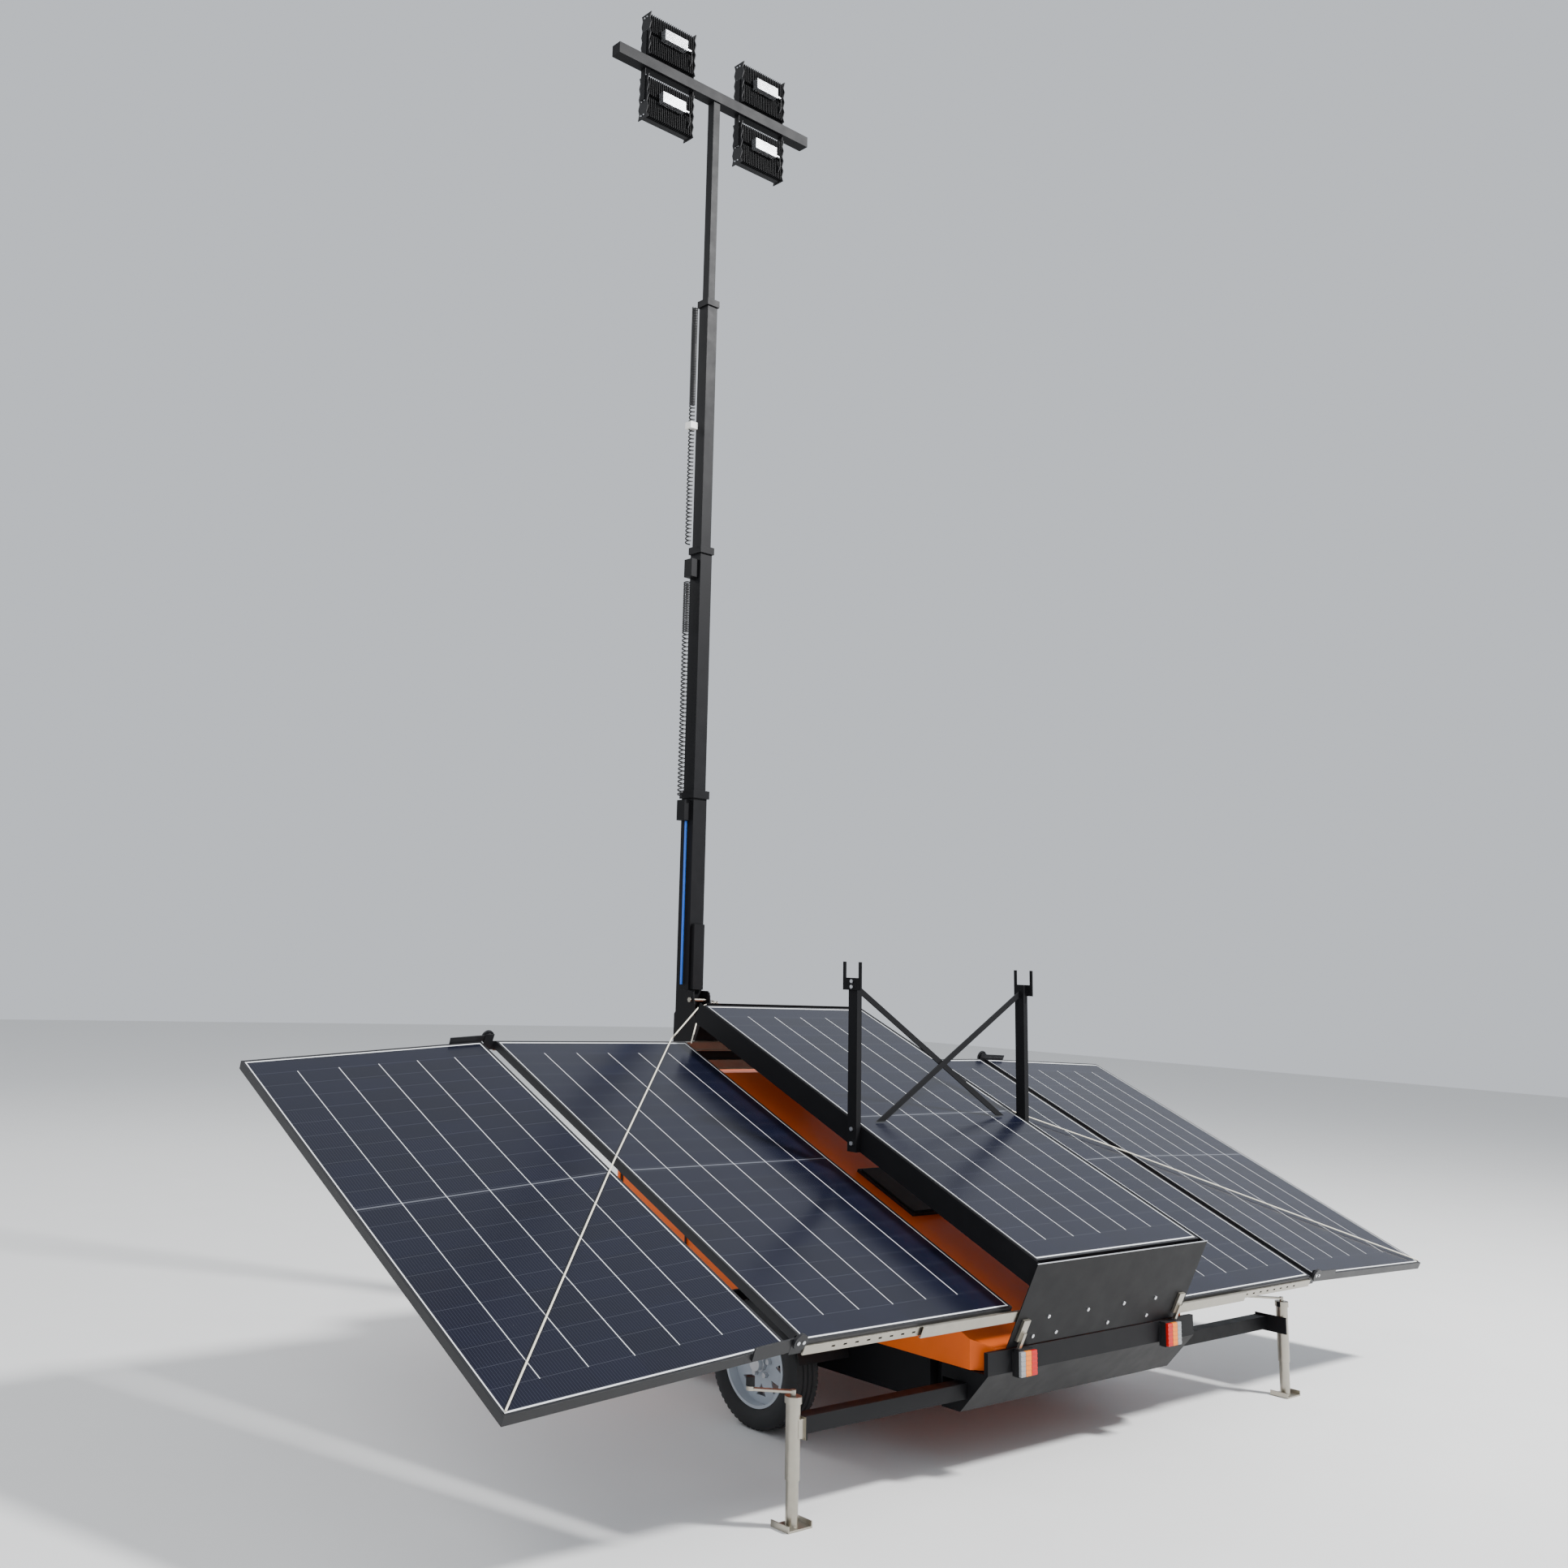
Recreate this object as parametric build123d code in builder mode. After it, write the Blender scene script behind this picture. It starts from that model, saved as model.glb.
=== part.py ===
from build123d import *
import math
import os

# ---------------------------------------------------------------- driving dimensions (mm)
# Frame: X to the trailer's right, Y forwards to the coupling, Z up, ground at Z = 0.
LID_Y, LID_Z = -1000.0, 1245.0   # centre of the fixed top module's glass
TILT = 24.23                     # the module rack rises 24 degrees towards the mast
MOD_W, MOD_L, MOD_T = 1134.0, 2094.0, 35.0   # 132 half-cell module
END_V = 1072.0                   # outer face of the rack's end plates, from the lid centre
LID_HW = 578.0                   # half width over the lid's aprons
APRON = 100.0                    # depth of the lid's side aprons
RACK_W = 362.0                   # depth of the end plates
L_DROP, R_DROP = 197.0, 300.0    # left and right sliding modules below the lid's glass
L_OUT, R_OUT = 1182.0, 1169.0    # how far the left and right inner modules are slid out
L_GAP, R_GAP = 80.0, 50.0       # gap between an inner and an outer module, left and right
HINGE_UP = 12.0                  # hinge axis above the module's face
L_DROOP, R_DROOP = 4.5, 2.0      # outer modules hang a little below the inner ones
CAB_HW = 714.0                   # cabinet half width
CAB_REAR, CAB_FRONT = -1812.0, 400.0
CAB_BASE = 395.0
CAB_W = -366.0                   # cabinet roof below the lid's glass
CAB_TOP = 1338.0                 # flat front part of the roof
HUB_Y, HUB_Z, WHEEL_X = -860.0, 250.0, 925.0
TYRE_R, RIM_R, TYRE_W = 250.0, 168.0, 150.0
MAST_Y = 705.0
PIV_Y, PIV_Z = 620.0, 1680.0     # mast tilting axis
BASE_BOT, BASE_TOP = 1330.0, 2835.0
S2_BOT, S2_TOP = 2635.0, 4263.0
S3_BOT, S3_TOP = 4103.0, 5806.0
S4_BOT, S4_TOP = 5606.0, 7120.0
BASE_S, S2_S, S3_S, S4_S = 100.0, 88.0, 76.0, 52.0
TBAR_L, TBAR_S = 1580.0, 70.0
LAMP_X = 385.0
JACK_X, JACK_Y = 1650.0, -1730.0
OUT_Z = 315.0                    # outrigger tube centre height
OUT_Y = (-1705.0, -1645.0)       # left and right tubes lie side by side
REST_X, REST_Y, REST_TOP = 594.0, -1048.0, 1840.0

os.makedirs("parts", exist_ok=True)
T = math.radians(TILT)
S, C = math.sin(T), math.cos(T)
V = Vector(0, C, S)              # along the rack, uphill
N = Vector(0, -S, C)             # out of the glass


def P(u, v, w):
    """A point given across, along and above the lid's glass."""
    return Vector(u, LID_Y + v * C - w * S, LID_Z + v * S + w * C)


LID = Plane(origin=P(0, 0, 0), x_dir=(1, 0, 0), z_dir=(0, -S, C))


def block(pl, x, y, z, mode=Mode.ADD):
    """A box between two limits on each axis of a plane."""
    with BuildSketch(pl.offset(z[0])) as outline:
        with Locations(((x[0] + x[1]) / 2, (y[0] + y[1]) / 2)):
            Rectangle(x[1] - x[0], y[1] - y[0])
    extrude(outline.sketch, amount=z[1] - z[0], mode=mode)


def wblock(x, y, z, mode=Mode.ADD):
    block(Plane.XY, x, y, z, mode)


def rod(a, b, r, mode=Mode.ADD):
    a, b = Vector(a), Vector(b)
    with BuildSketch(Plane(origin=a, z_dir=b - a)) as outline:
        Circle(r)
    extrude(outline.sketch, amount=(b - a).length, mode=mode)


def bar(a, b, w, h, side=(0, 0, 1)):
    """A rectangular bar from a to b, h measured towards side."""
    a, b = Vector(a), Vector(b)
    d = (b - a).normalized()
    x = d.cross(Vector(side)).normalized()
    with BuildSketch(Plane(origin=a, x_dir=x, z_dir=d)) as outline:
        Rectangle(w, h)
    extrude(outline.sketch, amount=(b - a).length)


def sqtube(s, t, z0, z1, x=0.0, y=MAST_Y):
    wblock((x - s / 2, x + s / 2), (y - s / 2, y + s / 2), (z0, z1))
    i = s / 2 - t
    wblock((x - i, x + i), (y - i, y + i), (z0 - 1, z1 + 1), Mode.SUBTRACT)


def save(builder, name):
    builder.part.label = name
    export_step(builder.part, "parts/" + name + ".step")


YZ = Plane(origin=(0, 0, 0), x_dir=(0, 1, 0), z_dir=(1, 0, 0))

# ---------------------------------------------------------------- chassis
with BuildPart() as chassis_frame:
    for s in (-1, 1):
        x0 = s * 689.0
        wblock((x0 - 25, x0 + 25), (-1560, 400), (235, CAB_BASE - 0.5))
    for y in (-1200, -620, -120, 350):
        wblock((-665, 665), (y - 30, y + 30), (300, CAB_BASE - 0.5))
    wblock((-30, 30), (-1560, 380), (320, CAB_BASE - 0.5))
    wblock((-665, 665), (-1610, -1560), (235, CAB_BASE - 0.5))
save(chassis_frame, "chassis_frame")

with BuildPart() as rear_light_box:
    with BuildSketch(YZ.offset(-CAB_HW + 4)):
        with BuildLine():
            Polyline((-1831, 470), (-1831, 388), (-1700, 233), (-1612, 233), (-1612, 392),
                     (-1813, 392), (-1813, 470), (-1831, 470))
        make_face()
    extrude(amount=2 * (CAB_HW - 4))
    # two tunnels side by side for the outrigger tubes
    for y in OUT_Y:
        wblock((-800, 800), (y - 28.3, y + 28.3), (OUT_Z - 28.3, OUT_Z + 28.3), Mode.SUBTRACT)
save(rear_light_box, "rear_light_box")

with BuildPart() as cabinet_shell:
    with BuildSketch(Plane.XY.offset(CAB_BASE)):
        with BuildLine():
            Polyline((-CAB_HW, CAB_FRONT), (-CAB_HW, CAB_REAR + 62), (-CAB_HW + 72, CAB_REAR),
                     (CAB_HW - 72, CAB_REAR), (CAB_HW, CAB_REAR + 62), (CAB_HW, CAB_FRONT),
                     (-CAB_HW, CAB_FRONT))
        make_face()
    extrude(amount=CAB_TOP - CAB_BASE)
    block(LID, (-900, 900), (-1500, 2500), (CAB_W, CAB_W + 1500), Mode.SUBTRACT)
    # the hollow inside, 4 mm walls
    with BuildSketch(Plane.XY.offset(CAB_BASE + 4)):
        with BuildLine():
            Polyline((-CAB_HW + 4, CAB_FRONT - 4), (-CAB_HW + 4, CAB_REAR + 64), (-CAB_HW + 74, CAB_REAR + 4),
                     (CAB_HW - 74, CAB_REAR + 4), (CAB_HW - 4, CAB_REAR + 64), (CAB_HW - 4, CAB_FRONT - 4),
                     (-CAB_HW + 4, CAB_FRONT - 4))
        make_face()
    extrude(amount=CAB_TOP - CAB_BASE - 8, mode=Mode.SUBTRACT)
    # roof put back as a sheet, cut to the wedge
    with BuildSketch(YZ.offset(-CAB_HW + 2)):
        with BuildLine():
            y1 = LID_Y + ((CAB_TOP - LID_Z) * C - CAB_W) / S
            zr = LID_Z + (CAB_W + (CAB_REAR + 2 - LID_Y) * S) / C
            Polyline((CAB_REAR + 2, zr), (y1, CAB_TOP), (CAB_FRONT - 2, CAB_TOP), (CAB_FRONT - 2, CAB_TOP - 4),
                     (y1 + 1, CAB_TOP - 4), (CAB_REAR + 2, zr - 4), (CAB_REAR + 2, zr))
        make_face()
    extrude(amount=2 * CAB_HW - 4)
    # the roof is trimmed at the chamfered corners
    for s in (-1, 1):
        with BuildSketch(Plane.XY.offset(380)):
            with BuildLine():
                Polyline((s * CAB_HW, CAB_REAR - 20), (s * CAB_HW, CAB_REAR + 62), (s * (CAB_HW - 72), CAB_REAR),
                         (s * (CAB_HW - 72), CAB_REAR - 20), (s * CAB_HW, CAB_REAR - 20))
            make_face()
        extrude(amount=300, mode=Mode.SUBTRACT)
    # door openings and a cable hole in the roof
    for s in (-1, 1):
        x = (-CAB_HW - 5, -CAB_HW + 6) if s < 0 else (CAB_HW - 6, CAB_HW + 5)
        wblock(x, (-110, 350), (450, 900), Mode.SUBTRACT)
    # hinge barrels for the doors and for the rack
    for s in (-1, 1):
        for z in (500, 800):
            rod((s * (CAB_HW + 8), 372, z), (s * (CAB_HW + 8), 372, z + 60), 6)
            wblock((min(s * CAB_HW, s * (CAB_HW + 8)) - 1 * (s > 0), max(s * CAB_HW, s * (CAB_HW + 8)) + 1 * (s < 0)), (369, 375), (z, z + 60))
        rod((s * (CAB_HW + 8), 372, 500), (s * (CAB_HW + 8), 372, 860), 3)
    for x in (-480, 480):
        rod((x - 40, 160, 1362), (x + 40, 160, 1362), 9)
        wblock((x - 40, x + 40), (152, 168), (CAB_TOP - 2, 1362))
    rod((-545, 160, 1362), (545, 160, 1362), 5)
save(cabinet_shell, "cabinet_shell")

for side, s in (("left", -1), ("right", 1)):
    with BuildPart() as door:
        xo = sorted((s * (CAB_HW + 1.0), s * (CAB_HW + 5.0)))
        wblock(xo, (-130, 362), (435, 915))
        xi = sorted((s * (CAB_HW - 14.0), s * (CAB_HW + 1.0)))
        wblock(xi, (-106, 346), (454, 896))
        wblock(sorted((s * (CAB_HW - 12.0), s * (CAB_HW - 2.0))), (-96, 336), (464, 886), Mode.SUBTRACT)
        for z in (562, 722):
            rod((s * (CAB_HW + 8), 372, z), (s * (CAB_HW + 8), 372, z + 76), 6)
            wblock(sorted((s * (CAB_HW + 1), s * (CAB_HW + 5))), (360, 370), (z, z + 76))
        rod((s * (CAB_HW + 8), 372, 540), (s * (CAB_HW + 8), 372, 820), 3.06, Mode.SUBTRACT)
        # paddle latch
        wblock(sorted((s * (CAB_HW + 5), s * (CAB_HW + 19))), (-100, -40), (640, 710))
    save(door, side + "_door")

with BuildPart() as power_pack:
    for x in (-560, -190, 190, 560):
        wblock((x - 120, x + 120), (-1150, -650), (CAB_BASE + 5, CAB_BASE + 225))
        for dx in (-70, 70):
            with BuildSketch(Plane.XY.offset(CAB_BASE + 225)):
                with Locations((x + dx, -690)):
                    Circle(9)
            extrude(amount=16)
    wblock((-250, 250), (60, 260), (CAB_BASE + 5, 1000))
    wblock((-200, 200), (52, 60), (600, 940))
save(power_pack, "power_pack")

# ---------------------------------------------------------------- running gear
with BuildPart() as axle:
    wblock((-700, 700), (HUB_Y + 130, HUB_Y + 190), (172, 232))
    for s in (-1, 1):
        wblock(sorted((s * 664, s * 712)), (HUB_Y + 100, HUB_Y + 220), (232, 235))
        # trailing arm and spindle
        bar((s * 727, HUB_Y + 160, 202), (s * 727, HUB_Y - 12, HUB_Z), 60, 24, (1, 0, 0))
        rod((s * 700, HUB_Y + 160, 202), (s * 738, HUB_Y + 160, 202), 26)
        rod((s * 715.5, HUB_Y, HUB_Z), (s * 940, HUB_Y, HUB_Z), 17)
save(axle, "axle")

with BuildPart() as mudguards:
    for s in (-1, 1):
        with BuildSketch(YZ.offset(s * 870 - 145)):
            with BuildLine():
                CenterArc((HUB_Y, HUB_Z), 296, 12, 156)
                CenterArc((HUB_Y, HUB_Z), 292, 12, 156)
                Line((HUB_Y + 296 * math.cos(math.radians(12)), HUB_Z + 296 * math.sin(math.radians(12))),
                     (HUB_Y + 292 * math.cos(math.radians(12)), HUB_Z + 292 * math.sin(math.radians(12))))
                Line((HUB_Y + 296 * math.cos(math.radians(168)), HUB_Z + 296 * math.sin(math.radians(168))),
                     (HUB_Y + 292 * math.cos(math.radians(168)), HUB_Z + 292 * math.sin(math.radians(168))))
            make_face()
        extrude(amount=290)
        wblock(sorted((s * 715, s * 726)), (HUB_Y - 40, HUB_Y + 40), (HUB_Z + 270, HUB_Z + 293))
save(mudguards, "mudguards")

for side, s in (("left", -1), ("right", 1)):
    cx = s * WHEEL_X
    with BuildPart() as tyre:
        with BuildSketch(Plane(origin=(cx, HUB_Y, HUB_Z), x_dir=(0, 0, 1), z_dir=(0, s, 0))):
            with BuildLine():
                Polyline((RIM_R, -60), (TYRE_R - 52, -74), (TYRE_R - 24, -75), (TYRE_R, -58), (TYRE_R, 58),
                         (TYRE_R - 24, 75), (TYRE_R - 52, 74), (RIM_R, 60), (RIM_R, -60))
            make_face()
        revolve(axis=Axis((cx, HUB_Y, HUB_Z), (1, 0, 0)), revolution_arc=360)
    save(tyre, side + "_tyre")
    with BuildPart() as rim:
        rod((cx - 62, HUB_Y, HUB_Z), (cx + 62, HUB_Y, HUB_Z), RIM_R - 0.2)
        rod((cx - 63, HUB_Y, HUB_Z), (cx + 63, HUB_Y, HUB_Z), RIM_R - 12, Mode.SUBTRACT)
        rod((cx + s * 8, HUB_Y, HUB_Z), (cx + s * 14, HUB_Y, HUB_Z), RIM_R - 6)
        with BuildSketch(Plane(origin=(cx + s * 11, HUB_Y, HUB_Z), x_dir=(0, 1, 0), z_dir=(s, 0, 0))):
            with PolarLocations(110, 8):
                RegularPolygon(31, 3, rotation=180)
        extrude(amount=12, both=True, mode=Mode.SUBTRACT)
        rod((cx - 20, HUB_Y, HUB_Z), (cx + 20, HUB_Y, HUB_Z), 24, Mode.SUBTRACT)
    save(rim, side + "_rim")
    with BuildPart() as hub:
        rod((cx - s * 20, HUB_Y, HUB_Z), (cx + s * 7.6, HUB_Y, HUB_Z), 64)
        rod((cx + s * 7.6, HUB_Y, HUB_Z), (cx + s * 7.9, HUB_Y, HUB_Z), 62)
        with BuildSketch(Plane(origin=(cx + s * 14.2, HUB_Y, HUB_Z), x_dir=(0, 1, 0), z_dir=(s, 0, 0))):
            Circle(30)
            with PolarLocations(50, 5, start_angle=-90):
                RegularPolygon(11, 6)
        extrude(amount=18)
        with BuildSketch(Plane(origin=(cx + s * 32, HUB_Y, HUB_Z), x_dir=(0, 1, 0), z_dir=(s, 0, 0))):
            Circle(27)
        extrude(amount=26)
        rod((cx - s * 150, HUB_Y, HUB_Z), (cx + s * 15.5, HUB_Y, HUB_Z), 17.06, Mode.SUBTRACT)
    save(hub, side + "_hub")

# ---------------------------------------------------------------- tail lamps
with BuildPart() as tail_lamp_housings:
    for s in (-1, 1):
        wblock((s * 503 - 50, s * 503 + 50), (-1857, -1833.2), (370, 468))
        wblock((s * 503 - 58, s * 503 + 40), (-1833, -1831.2), (372, 460))
save(tail_lamp_housings, "tail_lamp_housings")
with BuildPart() as tail_lamp_lenses:
    for s in (-1, 1):
        wblock((s * 491 - 36, s * 491 + 36), (-1868, -1857.2), (374, 464))
save(tail_lamp_lenses, "tail_lamp_lenses")

# ---------------------------------------------------------------- drawbar and pedestal
with BuildPart() as drawbar:
    for s in (-1, 1):
        bar((s * 620, 401, 345), (s * 42, 1790, 345), 60, 80)
    wblock((-60, 60), (1700, 1800), (300, 385))
    wblock((-520, 520), (640, 770), (386, 440))
    # coupling head
    rod((0, 1800, 345), (0, 1900, 345), 32)
    wblock((-38, 38), (1880, 1985), (330, 400))
    with BuildSketch(Plane.XY.offset(320)):
        with Locations((0, 1935)):
            Circle(25.5)
    extrude(amount=50, mode=Mode.SUBTRACT)
    wblock((-9, 9), (1800, 1900), (395, 407))
save(drawbar, "drawbar")

with BuildPart() as mast_pedestal:
    for s in (-1, 1):
        with BuildSketch(YZ.offset(s * 58 - 4)):
            with BuildLine():
                Polyline((590, 441), (590, 1660), (600, 1722), (640, 1730), (752, 1600), (752, 1180), (800, 441), (590, 441))
            make_face()
        extrude(amount=8)
        bar((s * 58, 600, 1250), (s * 300, 408, 1150), 8, 50, (0, 0, 1))
        wblock(sorted((s * 260, s * 340)), (401, 414), (1080, 1240))
    wblock((-54.5, 54.5), (590, 600), (441, 1560))
    wblock((-120, 120), (580, 830), (440.5, 450))
    # terminal box on the right-hand ear
    wblock((62, 104), (640, 700), (1650, 1706))
    rod((-80, PIV_Y, PIV_Z), (80, PIV_Y, PIV_Z), 8.0, Mode.SUBTRACT)
save(mast_pedestal, "mast_pedestal")

with BuildPart() as mast_pivot_pin:
    rod((-70, PIV_Y, PIV_Z), (70, PIV_Y, PIV_Z), 7.95)
    for s in (-1, 1):
        with BuildSketch(Plane(origin=(s * 62.3, PIV_Y, PIV_Z), x_dir=(0, 1, 0), z_dir=(s, 0, 0))):
            RegularPolygon(14, 6)
        extrude(amount=10)
save(mast_pivot_pin, "mast_pivot_pin")

# ---------------------------------------------------------------- mast
with BuildPart() as mast_base:
    sqtube(BASE_S, 4, BASE_BOT, BASE_TOP)
    for s in (-1, 1):
        wblock(sorted((s * 49, s * 53.8)), (602, 720), (1630, 1730))
    rod((-60, PIV_Y, PIV_Z), (60, PIV_Y, PIV_Z), 8.0, Mode.SUBTRACT)
    # stiffening channel on the rear face
    wblock((-38, 38), (631, 656), (1735, 2090))
    wblock((-34, 34), (635, 655.5), (1733, 2092), Mode.SUBTRACT)
    # collar
    wblock((-60, 60), (645, 765), (BASE_TOP - 45, BASE_TOP))
    wblock((-46, 46), (659, 751), (BASE_TOP - 46, BASE_TOP + 1), Mode.SUBTRACT)
    # cable box
    wblock((-97, -49.5), (678, 742), (2663, 2777))
save(mast_base, "mast_base")

for name, side, wall, z0, z1, box in (("mast_section_2", S2_S, 4, S2_BOT, S2_TOP, True),
                                      ("mast_section_3", S3_S, 4, S3_BOT, S3_TOP, False)):
    with BuildPart() as section:
        sqtube(side, wall, z0, z1)
        h, i = side / 2 + 9, side / 2 - wall
        wblock((-h, h), (MAST_Y - h, MAST_Y + h), (z1 - 42, z1))
        wblock((-i, i), (MAST_Y - i, MAST_Y + i), (z1 - 43, z1 + 1), Mode.SUBTRACT)
        rod((h - 1, MAST_Y - 20, z1 - 21), (h + 16, MAST_Y - 20, z1 - 21), 11)
        if box:
            wblock((-97, -side / 2 + 0.5), (678, 742), (4074, 4180))
    save(section, name)

with BuildPart() as mast_section_4:
    sqtube(S4_S, 3, S4_BOT, S4_TOP - 0.2)
save(mast_section_4, "mast_section_4")

UPL, LOL = 7345.0, 6933.0        # lamp tilting axes above and below the T-bar
with BuildPart() as t_bar:
    zc = S4_TOP + TBAR_S / 2
    wblock((-TBAR_L / 2, TBAR_L / 2), (MAST_Y - TBAR_S / 2, MAST_Y + TBAR_S / 2), (S4_TOP, S4_TOP + TBAR_S))
    wblock((-TBAR_L / 2 + 3, TBAR_L / 2 - 3), (MAST_Y - TBAR_S / 2 + 3, MAST_Y + TBAR_S / 2 - 3), (S4_TOP + 3, S4_TOP + TBAR_S - 3), Mode.SUBTRACT)
    for s in (-1, 1):
        for zl, zf in ((UPL, S4_TOP + TBAR_S), (LOL, S4_TOP)):
            up = 1 if zl > zf else -1
            cx = s * LAMP_X
            wblock((cx - 193, cx + 193), (MAST_Y - 20, MAST_Y + 20), sorted((zf, zf + up * 5)))
            for e in (-1, 1):
                wblock(sorted((cx + e * 188.5, cx + e * 193)), (MAST_Y - 20, MAST_Y + 20), sorted((zf, zl + up * 22)))
                rod((cx + e * 178, MAST_Y, zl), (cx + e * 192, MAST_Y, zl), 6)
save(t_bar, "t_bar")

for name, cx, zl in (("lamp_upper_left", -LAMP_X, UPL), ("lamp_upper_right", LAMP_X, UPL),
                     ("lamp_lower_left", -LAMP_X, LOL), ("lamp_lower_right", LAMP_X, LOL)):
    with BuildPart() as lamp:
        for e in (-1, 1):
            wblock(sorted((cx + e * 177.5, cx + e * 184)), (MAST_Y - 44, MAST_Y + 44), (zl - 140, zl + 140))
        for zm in (zl - 70, zl + 70):
            wblock((cx - 178, cx + 178), (MAST_Y - 12, MAST_Y + 34), (zm - 64, zm + 64))
            for k in range(9):
                xf = cx - 160 + 40 * k
                wblock((xf - 3, xf + 3), (MAST_Y - 36, MAST_Y - 11), (zm - 60, zm + 60))
        wblock((cx - 90, cx + 90), (MAST_Y - 76, MAST_Y - 36), (zl - 22, zl + 44))
        for e in (-1, 1):
            rod((cx + e * 176, MAST_Y, zl), (cx + e * 190, MAST_Y, zl), 6.05, Mode.SUBTRACT)
    save(lamp, name)

with BuildPart() as cord_upper:
    rod((-85, 730, 4274), (-85, 730, 5752), 20)
save(cord_upper, "cord_upper")
with BuildPart() as cord_lower:
    rod((-85, 730, 2800), (-85, 730, 4050), 20)
save(cord_lower, "cord_lower")
with BuildPart() as mast_cable:
    rod((-62, 700, 1760), (-62, 700, 2660), 7)
save(mast_cable, "mast_cable")

# ---------------------------------------------------------------- lifting rack with the fixed top module
with BuildPart() as rack_lid:
    for s in (-1, 1):
        block(LID, sorted((s * (LID_HW - 3), s * LID_HW)), (-END_V + 1, END_V - 1), (-APRON, 0))
        block(LID, sorted((s * 545, s * 576)), (-END_V + 1, END_V - 1), (-39, -35.5))
        block(LID, sorted((s * 571, s * 576)), (-END_V + 1, END_V - 1), (-90, -36))
        ve = sorted((s * (END_V - 3), s * END_V))
        hw = 594 if s < 0 else 530
        block(LID, (-hw, hw), ve, (-RACK_W, 0))
    for v in (-500, 0, 500):
        block(LID, (-572, 572), (v - 20, v + 20), (-70, -36))
    # hinge ears on the front end plate
    for x in (-532, -428, 428, 532):
        block(LID, (x - 6, x + 6), (END_V - 1, END_V + 38), (-RACK_W, -RACK_W + 40))
        block(LID, (x - 6, x + 6), (END_V + 20, END_V + 52), (-RACK_W - 14, -RACK_W + 20))
    rod((-600, 160, 1362), (600, 160, 1362), 9.6, Mode.SUBTRACT)
    for x in (-532, -428, 428, 532):
        rod((x - 6, 160, 1362), (x + 6, 160, 1362), 15)
    rod((-600, 160, 1362), (600, 160, 1362), 5.06, Mode.SUBTRACT)
save(rack_lid, "rack_lid")

with BuildPart() as mast_rest:
    for s in (-1, 1):
        wblock(sorted((s * 579, s * 609)), (REST_Y - 25, REST_Y + 25), (1105, REST_TOP))
        xs = sorted((s * 609, s * 617))
        wblock(xs, (REST_Y - 52, REST_Y + 52), (1788, 1841))
        for e in (-1, 1):
            wblock(xs, sorted((REST_Y + e * 38.5, REST_Y + e * 52)), (1838, 1910))
    bar((-582, REST_Y - 3.5, 1140), (582, REST_Y - 3.5, 1800), 6, 26)
    bar((582, REST_Y + 3.5, 1140), (-582, REST_Y + 3.5, 1800), 6, 26)
    # the flat bars pass over the fixed module
    block(LID, (-578.5, 578.5), (-1060, 1060), (-300, 6), Mode.SUBTRACT)
save(mast_rest, "mast_rest")

with BuildPart() as rack_latches:
    for s in (-1, 1):
        block(LID, (s * 540 - 20, s * 540 + 20), (-END_V - 12, -END_V - 0.5), (-330, -240))
        block(LID, (s * 540 - 8, s * 540 + 8), (-END_V - 22, -END_V - 11), (-356, -290))
save(rack_latches, "rack_latches")


def module_frame(pl, x, z):
    """Aluminium frame round a laminate, x is the near-left edge and z the top face."""
    block(pl, (x, x + MOD_W), (-MOD_L / 2, MOD_L / 2), (z - MOD_T, z))
    block(pl, (x + 11, x + MOD_W - 11), (-MOD_L / 2 + 11, MOD_L / 2 - 11), (z - 6, z + 1), Mode.SUBTRACT)
    block(pl, (x + 3, x + MOD_W - 3), (-MOD_L / 2 + 3, MOD_L / 2 - 3), (z - MOD_T + 2, z - 6), Mode.SUBTRACT)
    block(pl, (x + 25, x + MOD_W - 25), (-MOD_L / 2 + 25, MOD_L / 2 - 25), (z - MOD_T - 1, z - MOD_T + 3), Mode.SUBTRACT)


def laminate(pl, x, z):
    block(pl, (x + 11.3, x + MOD_W - 11.3), (-MOD_L / 2 + 11.3, MOD_L / 2 - 11.3), (z - 6, z - 1))


with BuildPart() as lid_module_frame:
    module_frame(LID, -MOD_W / 2, 0)
save(lid_module_frame, "lid_module_frame")
with BuildPart() as lid_module_glass:
    laminate(LID, -MOD_W / 2, 0)
save(lid_module_glass, "lid_module_glass")

with BuildPart() as rack_slides:
    for drop in (L_DROP, R_DROP):
        for e in (-1, 1):
            w = -drop - 5
            block(LID, (-556, 556), sorted((e * 1066.5, e * 1068.8)), (w - 53, w))
            for a, b in ((w - 53, w - 50), (w - 3, w)):
                block(LID, (-556, 556), sorted((e * 1060, e * 1067)), (a, b))
save(rack_slides, "rack_slides")

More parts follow.
